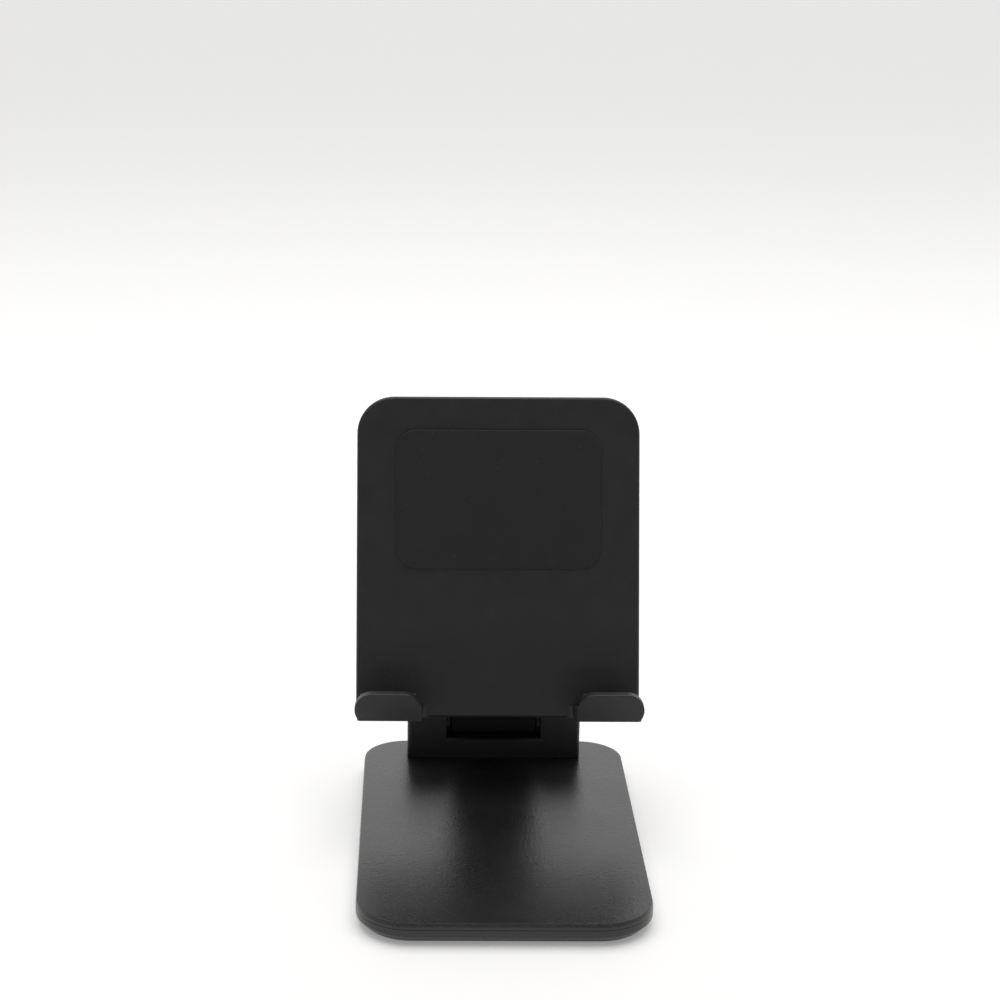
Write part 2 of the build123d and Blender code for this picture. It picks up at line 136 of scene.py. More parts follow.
def moulded_abs(name, shade, worn_shade, grain_mm, grain_depth_mm, shine, drift_mm):
    """Black ABS from a textured mould; shine is the (lowest, highest) roughness."""
    material, tree, shader, place = start_material(name)
    pits = put(
        tree,
        "ShaderNodeTexVoronoi",
        {"Vector": place, "Scale": 1 / (grain_mm * MM), "Smoothness": 0.6},
        feature="SMOOTH_F1",
    )
    skin = put(
        tree,
        "ShaderNodeTexNoise",
        {"Vector": place, "Scale": 1 / (grain_mm * 0.7 * MM), "Detail": 3.0, "Roughness": 0.6},
    ).outputs["Fac"]
    drift = put(
        tree,
        "ShaderNodeTexNoise",
        {"Vector": place, "Scale": 1 / (drift_mm * MM), "Detail": 4.0, "Roughness": 0.55},
    ).outputs["Fac"]
    handled = put(
        tree,
        "ShaderNodeTexNoise",
        {"Vector": place, "Scale": 1 / (drift_mm * 0.35 * MM), "Detail": 6.0, "Roughness": 0.7},
    ).outputs["Fac"]
    raised = put(tree, "ShaderNodeMapRange", {"Value": skin, **BUSY, "To Min": 0.0, "To Max": 0.5})
    relief = put(
        tree,
        "ShaderNodeMath",
        {0: pits.outputs["Distance"], 1: raised.outputs["Result"]},
        operation="ADD",
    )
    worn = put(tree, "ShaderNodeMapRange", {"Value": drift, **BUSY})
    colour = put(
        tree,
        "ShaderNodeMix",
        {"Factor": worn.outputs["Result"], 6: linear(shade), 7: linear(worn_shade)},
        data_type="RGBA",
    )
    scuff = put(tree, "ShaderNodeMapRange", {"Value": handled, "From Min": 0.56, "From Max": 0.74})
    faint = put(
        tree,
        "ShaderNodeMath",
        {0: scuff.outputs["Result"], 1: SCUFF_STRENGTH},
        operation="MULTIPLY",
    )
    scuffed = put(
        tree,
        "ShaderNodeMix",
        {"Factor": faint.outputs[0], 6: colour.outputs[2], 7: linear("38383A")},
        data_type="RGBA",
    )
    satin = put(
        tree,
        "ShaderNodeMapRange",
        {"Value": drift, **BUSY, "To Min": shine[0], "To Max": shine[1]},
    )
    uneven = put(
        tree, "ShaderNodeMapRange", {"Value": skin, **BUSY, "To Min": -0.03, "To Max": 0.05}
    )
    rubbed = put(
        tree,
        "ShaderNodeMath",
        {0: satin.outputs["Result"], 1: uneven.outputs["Result"]},
        operation="ADD",
    )
    bump = put(
        tree,
        "ShaderNodeBump",
        {"Height": relief.outputs[0], "Strength": 1.0, "Distance": grain_depth_mm * MM},
    )
    tree.links.new(scuffed.outputs[2], shader.inputs["Base Color"])
    tree.links.new(rubbed.outputs[0], shader.inputs["Roughness"])
    tree.links.new(bump.outputs["Normal"], shader.inputs["Normal"])
    shader.inputs["IOR"].default_value = 1.54
    return material


satin_abs = moulded_abs("moulded_abs_satin_black", "131315", "161618", 0.7, 0.024, (0.27, 0.31), 14.0)
matt_abs = moulded_abs("moulded_abs_matt_black", "1D1D1F", "212123", 0.45, 0.012, (0.42, 0.50), 6.0)
cap_abs = moulded_abs("moulded_abs_cap_black", "101011", "161617", 0.30, 0.006, (0.36, 0.44), 2.0)
print("plastics", [m.name for m in (satin_abs, matt_abs, cap_abs)])


# %% [markdown]
# ## Silicone rubber
# The liners and the foot pad are compression-moulded silicone. It is softer and duller
# than the plastic, it scatters light at a flat angle, and it holds on to dust: pale specks
# sit on it however clean the desk is. Specks are the cores of a sparse cell pattern, kept
# only where a second noise allows them. They are drawn up to a third of a millimetre
# across, which is coarser than most real dust.

# %% Silicone
def moulded_silicone(name):
    """Matt black silicone with a fine tooth and a little dust."""
    material, tree, shader, place = start_material(name)
    tooth = put(
        tree,
        "ShaderNodeTexNoise",
        {"Vector": place, "Scale": 1 / (0.22 * MM), "Detail": 3.0, "Roughness": 0.65},
    )
    bloom = put(
        tree,
        "ShaderNodeTexNoise",
        {"Vector": place, "Scale": 1 / (7.0 * MM), "Detail": 4.0, "Roughness": 0.6},
    ).outputs["Fac"]
    cells = put(
        tree,
        "ShaderNodeTexVoronoi",
        {"Vector": place, "Scale": 1 / (1.6 * MM), "Randomness": 1.0},
        feature="F1",
    )
    core = put(
        tree,
        "ShaderNodeMapRange",
        {
            "Value": cells.outputs["Distance"],
            "From Min": 0.05,
            "From Max": 0.11,
            "To Min": 1.0,
            "To Max": 0.0,
        },
    )
    sparse = put(
        tree,
        "ShaderNodeTexNoise",
        {"Vector": place, "Scale": 1 / (4.0 * MM), "Detail": 2.0, "Roughness": 0.5},
    )
    chosen = put(
        tree,
        "ShaderNodeMapRange",
        {"Value": sparse.outputs["Fac"], "From Min": 0.55, "From Max": 0.6},
    )
    dust = put(
        tree,
        "ShaderNodeMath",
        {0: core.outputs["Result"], 1: chosen.outputs["Result"]},
        operation="MULTIPLY",
    )
    bloomed = put(tree, "ShaderNodeMapRange", {"Value": bloom, **BUSY})
    rubber = put(
        tree,
        "ShaderNodeMix",
        {"Factor": bloomed.outputs["Result"], 6: linear("1B1B1C"), 7: linear("242425")},
        data_type="RGBA",
    )
    dusty = put(
        tree,
        "ShaderNodeMix",
        {"Factor": dust.outputs[0], 6: rubber.outputs[2], 7: linear("444340")},
        data_type="RGBA",
    )
    dull = put(
        tree, "ShaderNodeMapRange", {"Value": bloom, **BUSY, "To Min": 0.62, "To Max": 0.78}
    )
    bump = put(
        tree,
        "ShaderNodeBump",
        {"Height": tooth.outputs["Fac"], "Strength": 1.0, "Distance": 0.008 * MM},
    )
    tree.links.new(dusty.outputs[2], shader.inputs["Base Color"])
    tree.links.new(dull.outputs["Result"], shader.inputs["Roughness"])
    tree.links.new(bump.outputs["Normal"], shader.inputs["Normal"])
    shader.inputs["IOR"].default_value = 1.41
    shader.inputs["Sheen Weight"].default_value = 0.12
    shader.inputs["Sheen Roughness"].default_value = 0.5
    return material


silicone = moulded_silicone("moulded_silicone_black")
print("silicone", silicone.name)


# %% [markdown]
# ## Steels and nylon
# Hinge pins, nuts and spring washers are zinc-plated steel, the screws are blackened, and
# the ballast is a plain rolled sheet. A rolled or turned surface is streaked along one
# direction, which is the same noise squeezed along one axis by a Mapping node. The
# friction washers are dyed nylon, smoother than the ABS and a little waxy.

# %% Plated steel and nylon
def streaked_steel(name, shade, tint, roughness, streak_mm, stretch):
    """Metal with streaks: stretch squeezes the pattern along each axis."""
    material, tree, shader, place = start_material(name)
    turned = put(tree, "ShaderNodeMapping", {"Vector": place, "Scale": stretch}).outputs["Vector"]
    streaks = put(
        tree,
        "ShaderNodeTexNoise",
        {"Vector": turned, "Scale": 1 / (streak_mm * MM), "Detail": 4.0, "Roughness": 0.7},
    ).outputs["Fac"]
    stains = put(
        tree,
        "ShaderNodeTexNoise",
        {"Vector": place, "Scale": 1 / (3.0 * MM), "Detail": 3.0, "Roughness": 0.5},
    )
    stained = put(tree, "ShaderNodeMapRange", {"Value": stains.outputs["Fac"], **BUSY})
    colour = put(
        tree,
        "ShaderNodeMix",
        {"Factor": stained.outputs["Result"], 6: linear(shade), 7: linear(tint)},
        data_type="RGBA",
    )
    polish = put(
        tree,
        "ShaderNodeMapRange",
        {"Value": streaks, **BUSY, "To Min": roughness - 0.08, "To Max": roughness + 0.1},
    )
    bump = put(
        tree, "ShaderNodeBump", {"Height": streaks, "Strength": 0.6, "Distance": 0.004 * MM}
    )
    tree.links.new(colour.outputs[2], shader.inputs["Base Color"])
    tree.links.new(polish.outputs["Result"], shader.inputs["Roughness"])
    tree.links.new(bump.outputs["Normal"], shader.inputs["Normal"])
    shader.inputs["Metallic"].default_value = 1.0
    return material


zinc_steel = streaked_steel("zinc_plated_steel", "B4B6BA", "A2A19A", 0.34, 0.25, (6.0, 1.0, 1.0))
black_steel = streaked_steel("black_zinc_screw_steel", "3A3B3E", "2C2C2E", 0.42, 0.2, (1.0, 1.0, 4.0))
sheet_steel = streaked_steel("rolled_sheet_steel", "8E9094", "7A7873", 0.45, 0.4, (1.0, 0.05, 1.0))


def moulded_nylon(name):
    """Black nylon, smooth and slightly waxy."""
    material, tree, shader, place = start_material(name)
    flow = put(
        tree,
        "ShaderNodeTexNoise",
        {"Vector": place, "Scale": 1 / (1.2 * MM), "Detail": 3.0, "Roughness": 0.5},
    ).outputs["Fac"]
    flowed = put(tree, "ShaderNodeMapRange", {"Value": flow, **BUSY})
    colour = put(
        tree,
        "ShaderNodeMix",
        {"Factor": flowed.outputs["Result"], 6: linear("1E1E1F"), 7: linear("272728")},
        data_type="RGBA",
    )
    waxy = put(
        tree, "ShaderNodeMapRange", {"Value": flow, **BUSY, "To Min": 0.34, "To Max": 0.46}
    )
    bump = put(tree, "ShaderNodeBump", {"Height": flow, "Strength": 0.4, "Distance": 0.01 * MM})
    tree.links.new(colour.outputs[2], shader.inputs["Base Color"])
    tree.links.new(waxy.outputs["Result"], shader.inputs["Roughness"])
    tree.links.new(bump.outputs["Normal"], shader.inputs["Normal"])
    shader.inputs["IOR"].default_value = 1.53
    return material


nylon = moulded_nylon("moulded_nylon_black")
print("metals and nylon", [m.name for m in (zinc_steel, black_steel, sheet_steel, nylon)])


# %% [markdown]
# ## Dressing a piece from the frame
# The block, arm, cradle and small parts already have the right shape, but a mesh from
# CAD is loose triangles with knife-sharp edges. No moulded or turned edge is like that:
# light always catches a fine rounded line. So a copy has its doubles merged and its flat
# triangles joined, and a Bevel modifier rounds what is still sharp, as far as the mesh
# allows. The frame's own mesh is left as it is, and the copy stands in for it.

# %% A finished copy of a frame node
MERGE_DISTANCE = 0.0005 * MM
FLAT_ANGLE = radians(0.3)
SHARP_ANGLE = radians(32)


def finished_copy(node, body, material, edge_mm, segments=3):
    """Stand a softened copy of one node in for it, on its body, in its finish."""
    mesh = nodes[node].data.copy()
    for layer in ("custom_normal", "sharp_edge", "sharp_face"):
        if layer in mesh.attributes:
            mesh.attributes.remove(mesh.attributes[layer])
    edit = bmesh.new()
    edit.from_mesh(mesh)
    bmesh.ops.remove_doubles(edit, verts=edit.verts, dist=MERGE_DISTANCE)
    bmesh.ops.dissolve_limit(edit, angle_limit=FLAT_ANGLE, verts=edit.verts, edges=edit.edges)
    for face in edit.faces:
        face.smooth = True
    edit.to_mesh(mesh)
    edit.free()
    mesh.materials.clear()
    mesh.materials.append(material)
    piece = bpy.data.objects.new(node + "_finished", mesh)
    bpy.context.scene.collection.objects.link(piece)
    bevel = piece.modifiers.new("softened edges", "BEVEL")
    bevel.width = edge_mm * MM
    bevel.segments = segments
    bevel.limit_method = "ANGLE"
    bevel.angle_limit = SHARP_ANGLE
    bevel.miter_outer = "MITER_ARC"
    bevel.use_clamp_overlap = True
    bevel.harden_normals = True
    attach(piece, body)
    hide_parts(node)


# %% [markdown]
# ## The base shells as one swept section
# Each base shell is a wall of constant section that runs round a rounded rectangle,
# closed by a flat skin. That is a rule, so Geometry Nodes can follow it: a rectangle curve
# gets its four corners filleted, larger at the front than at the rear, and a section
# curve is swept along it. Changing a radius or the section then reshapes the whole shell.
# The section is drawn outwards and downwards from the outline.

# %% The sweep tree
def sweep_tree():
    """A rounded rectangle with a section swept along it."""
    tree = bpy.data.node_groups.new("shell_sweep", "GeometryNodeTree")
    for label, kind in (
        ("Width", "NodeSocketFloat"),
        ("Depth", "NodeSocketFloat"),
        ("Front corner", "NodeSocketFloat"),
        ("Rear corner", "NodeSocketFloat"),
        ("Corner steps", "NodeSocketInt"),
        ("Section", "NodeSocketObject"),
        ("Finish", "NodeSocketMaterial"),
    ):
        tree.interface.new_socket(label, in_out="INPUT", socket_type=kind)
    tree.interface.new_socket("Shell", in_out="OUTPUT", socket_type="NodeSocketGeometry")
    given = put(tree, "NodeGroupInput").outputs
    outline = put(
        tree,
        "GeometryNodeCurvePrimitiveQuadrilateral",
        {"Width": given["Width"], "Height": given["Depth"]},
        mode="RECTANGLE",
    )
    position = put(tree, "GeometryNodeInputPosition")
    across = put(tree, "ShaderNodeSeparateXYZ", {"Vector": position.outputs[0]})
    at_front = put(
        tree, "FunctionNodeCompare", {0: across.outputs["Y"], 1: 0.0}, operation="LESS_THAN"
    )
    radius = put(
        tree,
        "GeometryNodeSwitch",
        {
            "Switch": at_front.outputs[0],
            "False": given["Rear corner"],
            "True": given["Front corner"],
        },
        input_type="FLOAT",
    )
    rounded = put(
        tree,
        "GeometryNodeFilletCurve",
        {
            "Curve": outline.outputs[0],
            "Count": given["Corner steps"],
            "Radius": radius.outputs[0],
        },
        mode="POLY",
    )
    level = put(tree, "GeometryNodeSetCurveNormal", {"Curve": rounded.outputs[0]}, mode="Z_UP")
    section = put(tree, "GeometryNodeObjectInfo", {"Object": given["Section"]})
    drawn = put(tree, "GeometryNodeMeshToCurve", {"Mesh": section.outputs["Geometry"]})
    swept = put(
        tree,
        "GeometryNodeCurveToMesh",
        {"Curve": level.outputs[0], "Profile Curve": drawn.outputs[0]},
    )
    single = put(tree, "GeometryNodeRealizeInstances", {"Geometry": swept.outputs[0]})
    finished = put(
        tree,
        "GeometryNodeSetMaterial",
        {"Geometry": single.outputs[0], "Material": given["Finish"]},
    )
    put(tree, "NodeGroupOutput", {0: finished.outputs[0]})
    return tree


shell_sweep = sweep_tree()
print("sweep inputs", [s.name for s in shell_sweep.interface.items_tree if s.in_out == "INPUT"])


# %% [markdown]
# A tree needs an object to carry it. The next helper puts a tree on an empty mesh, sets
# each input by its socket's identifier, evaluates it once, and keeps only the plain mesh.
# What comes out has no modifier left, so it can be handed on like any other piece.

# %% From a tree to a plain mesh
def grown(tree, name, source=None, **values):
    """Run a tree with named inputs and return the plain mesh that it makes."""
    carrier = bpy.data.objects.new(name, source or bpy.data.meshes.new(name))
    bpy.context.scene.collection.objects.link(carrier)
    modifier = carrier.modifiers.new(name, "NODES")
    modifier.node_group = tree
    for socket in tree.interface.items_tree:
        key = socket.name.lower().replace(" ", "_")
        if socket.in_out == "INPUT" and key in values:
            modifier[socket.identifier] = values[key]
    evaluated = carrier.evaluated_get(bpy.context.evaluated_depsgraph_get())
    mesh = bpy.data.meshes.new_from_object(evaluated)
    carrier.modifiers.clear()
    bpy.data.objects.remove(carrier)
    return mesh


def as_piece(mesh, name, body, slot, *replaced):
    """Hand a finished mesh over as one piece."""
    piece = bpy.data.objects.new(name, mesh)
    bpy.context.scene.collection.objects.link(piece)
    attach(piece, body)
    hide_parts(*replaced)
    return piece


# %% [markdown]
# ## Drawing a section
# A section is a chain of points. Straight runs need only their ends, and a rounded edge
# needs a few points on an arc, so a corner is written as its place and its radius, and the
# helper turns it into an arc that touches both runs.

# %% Rounded corners in a section
def rounded_chain(corners, steps=5):
    """Points along a chain of (out, down, radius) corners, in millimetres."""
    points = []
    for i, (out, down, radius) in enumerate(corners):
        here = Vector((out, down))
        if radius == 0 or i in (0, len(corners) - 1):
            points.append(here)
            continue
        before = (Vector(corners[i - 1][:2]) - here).normalized()
        after = (Vector(corners[i + 1][:2]) - here).normalized()
        half = before.angle(after) / 2
        reach = radius / sin(half) * cos(half)
        centre = here + (before + after).normalized() * radius / sin(half)
        first = here + before * reach - centre
        last = here + after * reach - centre
        turn = atan2(first.x * last.y - first.y * last.x, first.dot(last))
        for step in range(steps + 1):
            angle = turn * step / steps
            points.append(
                centre
                + Vector(
                    (
                        first.x * cos(angle) - first.y * sin(angle),
                        first.x * sin(angle) + first.y * cos(angle),
                    )
                )
            )
    return points


def section_object(name, corners, top_mm):
    """A section as an edge chain; its heights run down from the given height."""
    points = rounded_chain(corners)
    mesh = bpy.data.meshes.new(name)
    mesh.from_pydata(
        [(p.x * MM, (p.y - top_mm) * MM, 0) for p in points],
        [(i, i + 1) for i in range(len(points) - 1)],
        [],
    )
    made = bpy.data.objects.new(name, mesh)
    bpy.context.scene.collection.objects.link(made)
    return made


# %% [markdown]
# ## The top shell
# The top shell has a crisp rim. Its side leans out a little, stands upright and stops at
# the parting line, where a tiny rounding on each shell leaves the fine dark line that runs
# round the side. Inside it is hollow: a wall, and a flat ceiling. The sweep leaves one
# open ring in the top skin and one in the ceiling, and each is closed with a single flat
# face.

# %% Top shell
top_low, top_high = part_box("base_top_shell")
BASE_WIDTH = top_high.x - top_low.x
BASE_DEPTH = top_high.y - top_low.y
BASE_TOP = top_high.z / MM
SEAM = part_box("base_bottom_shell")[1].z / MM
FRONT_CORNER, REAR_CORNER = 12.5 * MM, 11.0 * MM
WALL, SKIN, RING = 1.5, 1.2, 7.0
RIM_INSET, RIM_DROP = 0.2, 0.85
FLAT_FACE_WEIGHT = 90


def swept_shell(name, corners, top_mm, finish, steps=18):
    """Sweep a section round the base's outline and close the flat rings."""
    section = section_object(name + "_section", corners, top_mm)
    mesh = grown(
        shell_sweep,
        name,
        width=BASE_WIDTH,
        depth=BASE_DEPTH,
        front_corner=FRONT_CORNER,
        rear_corner=REAR_CORNER,
        corner_steps=steps,
        section=section,
        finish=finish,
    )
    bpy.data.objects.remove(section)
    edit = bmesh.new()
    edit.from_mesh(mesh)
    bmesh.ops.remove_doubles(edit, verts=edit.verts, dist=MERGE_DISTANCE)
    open_edges = [edge for edge in edit.edges if edge.is_boundary]
    bmesh.ops.holes_fill(edit, edges=open_edges, sides=0)
    bmesh.ops.recalc_face_normals(edit, faces=edit.faces)
    for face in edit.faces:
        face.smooth = True
    edit.to_mesh(mesh)
    edit.free()
    return mesh


def weighted(piece):
    """Let large flat faces set the shading, so that rounded rims stay narrow."""
    shading = piece.modifiers.new("flat faces lead", "WEIGHTED_NORMAL")
    shading.weight = FLAT_FACE_WEIGHT
    shading.keep_sharp = False


top_section = (
    (-RING, 0, 0),
    (-RIM_INSET, 0, 0.1),
    (0, RIM_DROP, 0.5),
    (0, BASE_TOP - SEAM, 0.1),
    (-WALL, BASE_TOP - SEAM, 0.1),
    (-WALL, SKIN, 0.3),
    (-RING, SKIN, 0),
)
top_mesh = swept_shell("base_top", top_section, BASE_TOP, satin_abs)
weighted(as_piece(top_mesh, "base_top", "base", "base_plastic", "base_top_shell"))
print("top shell faces", len(top_mesh.polygons))

# %% [markdown]
# ## The bottom shell
# The bottom shell starts with the same tiny rounding, stands upright for a moment and
# then turns under in a wide bevel, so that the base seems to float above the desk. Its
# underside has a shallow pocket for the foot pad. Like the top it is hollow, with a flat
# floor. The screw bosses inside and the screw holes under the pad are left out of both
# shells: they are in the frame's own pieces, and nothing of them can be seen from outside.

# %% Bottom shell
bottom_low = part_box("base_bottom_shell")[0].z / MM
PAD_INSET = 3.6
PAD_POCKET = 0.5
UNDER_BEVEL = 2.0
FLOOR = 2.0
bottom_height = SEAM - bottom_low
bottom_section = (
    (-RING, SEAM - FLOOR, 0),
    (-WALL, SEAM - FLOOR, 0.3),
    (-WALL, 0, 0.1),
    (0, 0, 0.1),
    (0, bottom_height - UNDER_BEVEL, 0.6),
    (-UNDER_BEVEL, bottom_height, 0.35),
    (-PAD_INSET, bottom_height, 0.1),
    (-PAD_INSET, bottom_height - PAD_POCKET, 0),
    (-RING, bottom_height - PAD_POCKET, 0),
)
bottom_mesh = swept_shell("base_bottom", bottom_section, SEAM, satin_abs)
weighted(as_piece(bottom_mesh, "base_bottom", "base", "base_plastic", "base_bottom_shell"))
print("bottom shell faces", len(bottom_mesh.polygons))

# %% [markdown]
# ## The pieces that keep the frame's shape
# The hinge block, the arm, its cover, the cradle, the liners and the hinge parts are
# finished copies. The Bevel modifier limits its width by the shortest edges of a mesh, so
# the widths below are what each piece really gets, not what was wished for. The block gets
# a tenth of a millimetre and the arm half of that. The cradle has its moulded radii in its
# own shape already. It is left with a hair's width, which rounds nothing that can be seen
# and only keeps the shading of neighbouring faces apart.

# %% Plastic pieces
PLASTICS = (
    ("hinge_block", "base", matt_abs, "body_plastic", 0.11),
    ("arm", "arm", matt_abs, "body_plastic", 0.06),
    ("arm_rear_cover", "arm", matt_abs, "body_plastic", 0.07),
    ("cradle_plate", "cradle", matt_abs, "body_plastic", 0.02),
    ("block_cap_left", "base", cap_abs, "cap_plastic", 0.1),
    ("block_cap_right", "base", cap_abs, "cap_plastic", 0.1),
    ("cradle_cap_left", "cradle", cap_abs, "cap_plastic", 0.1),
    ("cradle_cap_right", "cradle", cap_abs, "cap_plastic", 0.1),
)
SOFT = (
    ("back_pad", "cradle", 0.2),
    ("hook_pad_left", "cradle", 0.3),
    ("hook_pad_right", "cradle", 0.3),
    ("anti_slip_pad", "base", 0.04),
)
METALS = (
    ("ballast_plate", "base", sheet_steel, "ballast_steel", 0.2),
    ("base_hinge_pin", "base", zinc_steel, "hinge_steel", 0.05),
    ("base_hinge_nut", "base", zinc_steel, "hinge_steel", 0.1),
    ("base_hinge_springs", "base", zinc_steel, "hinge_steel", 0.05),
    ("base_hinge_washers", "base", nylon, "washer_nylon", 0.08),
    ("cradle_hinge_pin", "cradle", zinc_steel, "hinge_steel", 0.06),
    ("cradle_hinge_nut", "cradle", zinc_steel, "hinge_steel", 0.1),
    ("cradle_hinge_springs", "cradle", zinc_steel, "hinge_steel", 0.05),
    ("cradle_hinge_washers", "cradle", nylon, "washer_nylon", 0.08),
)
for node, body, finish, slot, edge in PLASTICS + METALS:
    finished_copy(node, body, finish, edge)
for node, body, edge in SOFT:
    finished_copy(node, body, silicone, edge, segments=4)
print("finished copies", len(PLASTICS) + len(METALS) + len(SOFT))

# %% [markdown]
# ## Screws as instances
# Eight screws of three sizes hold the stand together. One tree makes them all: a flat
# round head with a cross recess, a core and a three-sided thread swept along a spiral, put
# on every point that it is given. The tree takes each real size as a named input, and works
# the rest out from those, such as the radius of the core under the thread.

# %% The screw tree
def screw_tree():
    """Cross-head screws that point up, their seat on the points of a mesh."""
    tree = bpy.data.node_groups.new("cross_head_screws", "GeometryNodeTree")
    sizes = (
        "Head radius",
        "Head height",
        "Shank radius",
        "Shank length",
        "Thread pitch",
        "Recess width",
    )
    tree.interface.new_socket("Places", in_out="INPUT", socket_type="NodeSocketGeometry")
    for label in sizes:
        tree.interface.new_socket(label, in_out="INPUT", socket_type="NodeSocketFloat")
    tree.interface.new_socket("Tilt", in_out="INPUT", socket_type="NodeSocketVector")
    tree.interface.new_socket("Finish", in_out="INPUT", socket_type="NodeSocketMaterial")
    tree.interface.new_socket("Screws", in_out="OUTPUT", socket_type="NodeSocketGeometry")
    given = put(tree, "NodeGroupInput").outputs

    sums = {}
    for label, first, operation, second in (
        ("head middle", given["Head height"], "MULTIPLY", -0.5),
        ("head top", given["Head height"], "MULTIPLY", -1.0),
        ("recess depth", given["Head height"], "MULTIPLY", 1.1),
        ("bar width", given["Recess width"], "MULTIPLY", 0.25),
        ("core radius", given["Shank radius"], "MULTIPLY", 0.78),
        ("shank middle", given["Shank length"], "MULTIPLY", 0.5),
        ("ridge size", given["Thread pitch"], "MULTIPLY", 0.3),
        ("thread start", given["Thread pitch"], "MULTIPLY", 0.4),
        ("threaded", given["Shank length"], "SUBTRACT", given["Thread pitch"]),
    ):
        made = put(tree, "ShaderNodeMath", {0: first, 1: second}, operation=operation)
        sums[label] = made.outputs[0]
    ridge_radius = put(
        tree,
        "ShaderNodeMath",
        {0: given["Shank radius"], 1: sums["ridge size"]},
        operation="SUBTRACT",
    ).outputs[0]
    turns = put(
        tree,
        "ShaderNodeMath",
        {0: sums["threaded"], 1: given["Thread pitch"]},
        operation="DIVIDE",
    ).outputs[0]

    def at_height(geometry, height):
        offset = put(tree, "ShaderNodeCombineXYZ", {"Z": height})
        moved = put(
            tree,
            "GeometryNodeTransform",
            {"Geometry": geometry, "Translation": offset.outputs[0]},
        )
        return moved.outputs[0]

    head = put(
        tree,
        "GeometryNodeMeshCylinder",
        {"Vertices": 40, "Radius": given["Head radius"], "Depth": given["Head height"]},
    )
    recessed = put(
        tree,
        "GeometryNodeMeshBoolean",
        {"Mesh 1": at_height(head.outputs[0], sums["head middle"])},
        operation="DIFFERENCE",
        solver="EXACT",
    )
    for across, along in (
        (given["Recess width"], sums["bar width"]),
        (sums["bar width"], given["Recess width"]),
    ):
        size = put(
            tree, "ShaderNodeCombineXYZ", {"X": across, "Y": along, "Z": sums["recess depth"]}
        )
        bar = put(tree, "GeometryNodeMeshCube", {"Size": size.outputs[0]})
        tree.links.new(at_height(bar.outputs[0], sums["head top"]), recessed.inputs["Mesh 2"])
    shank = put(
        tree,
        "GeometryNodeMeshCylinder",
        {"Vertices": 24, "Radius": sums["core radius"], "Depth": given["Shank length"]},
    )
    ridge = put(
        tree,
        "GeometryNodeCurvePrimitiveCircle",
        {"Resolution": 3, "Radius": sums["ridge size"]},
    )
    spiral = put(
        tree,
        "GeometryNodeCurveSpiral",
        {
            "Resolution": 18,
            "Rotations": turns,
            "Start Radius": ridge_radius,
            "End Radius": ridge_radius,
            "Height": sums["threaded"],
        },
    )
    thread = put(
        tree,
        "GeometryNodeCurveToMesh",
        {"Curve": spiral.outputs[0], "Profile Curve": ridge.outputs[0], "Fill Caps": True},
    )
    parts = put(tree, "GeometryNodeJoinGeometry")
    for part in (
        at_height(shank.outputs[0], sums["shank middle"]),
        at_height(thread.outputs[0], sums["thread start"]),
        recessed.outputs[0],
    ):
        tree.links.new(part, parts.inputs[0])
    turned = put(tree, "FunctionNodeEulerToRotation", {"Euler": given["Tilt"]})
    placed = put(
        tree,
        "GeometryNodeInstanceOnPoints",
        {
            "Points": given["Places"],
            "Instance": parts.outputs[0],
            "Rotation": turned.outputs[0],
        },
    )
    single = put(tree, "GeometryNodeRealizeInstances", {"Geometry": placed.outputs[0]})
    finished = put(
        tree,
        "GeometryNodeSetMaterial",
        {"Geometry": single.outputs[0], "Material": given["Finish"]},
    )
    put(tree, "NodeGroupOutput", {0: finished.outputs[0]})
    return tree


screws = screw_tree()
print("screw inputs", [s.name for s in screws.interface.items_tree if s.in_out == "INPUT"])

# %% [markdown]
# The screws stand on points: four under the base, two under the hinge block and two in
# the arm's cover. The points are the seats that the heads press on. The screws of the
# cover lie across the arm, so they are tilted with it, and the arm's direction comes from
# its two hinge axes. In every size the recess is as wide as half the head.

# %% Three sets of screws
pivot, tip = (Vector(joint["pos_m"]) for joint in frame["joints"])
arm_direction = (tip - pivot).normalized()
arm_rearward = arm_direction.cross(Vector((1, 0, 0)))
arm_middle = (pivot + tip) / 2
ARM_HALF, COVER_SPACING = 2.75, 22.4
COVER_HEAD, COVER_SHANK, COVER_PITCH = (1.5, 0.55), (0.8, 2.9), 0.6
BASE_SCREWS = ((-25.5, -44.5), (25.5, -44.5), (-26.3, 45.0), (26.3, 45.0))
BLOCK_SCREWS = ((-16.0, 44.9), (16.0, 44.9))
UPRIGHT = (0.0, 0.0, 0.0)


def screw_set(node, body, places, tilt, head, shank, pitch_mm):
    """Screws on points; head is (radius, height) and shank (radius, length), in millimetres."""
    points = bpy.data.meshes.new(node + "_seats")
    points.from_pydata([tuple(place) for place in places], [], [])
    mesh = grown(
        screws,
        node + "_threaded",
        source=points,
        head_radius=head[0] * MM,
        head_height=head[1] * MM,
        shank_radius=shank[0] * MM,
        shank_length=shank[1] * MM,
        thread_pitch=pitch_mm * MM,
        recess_width=head[0] * MM,
        tilt=tilt,
        finish=black_steel,
    )
    as_piece(mesh, node + "_threaded", body, "screw_steel", node)
    return len(places)


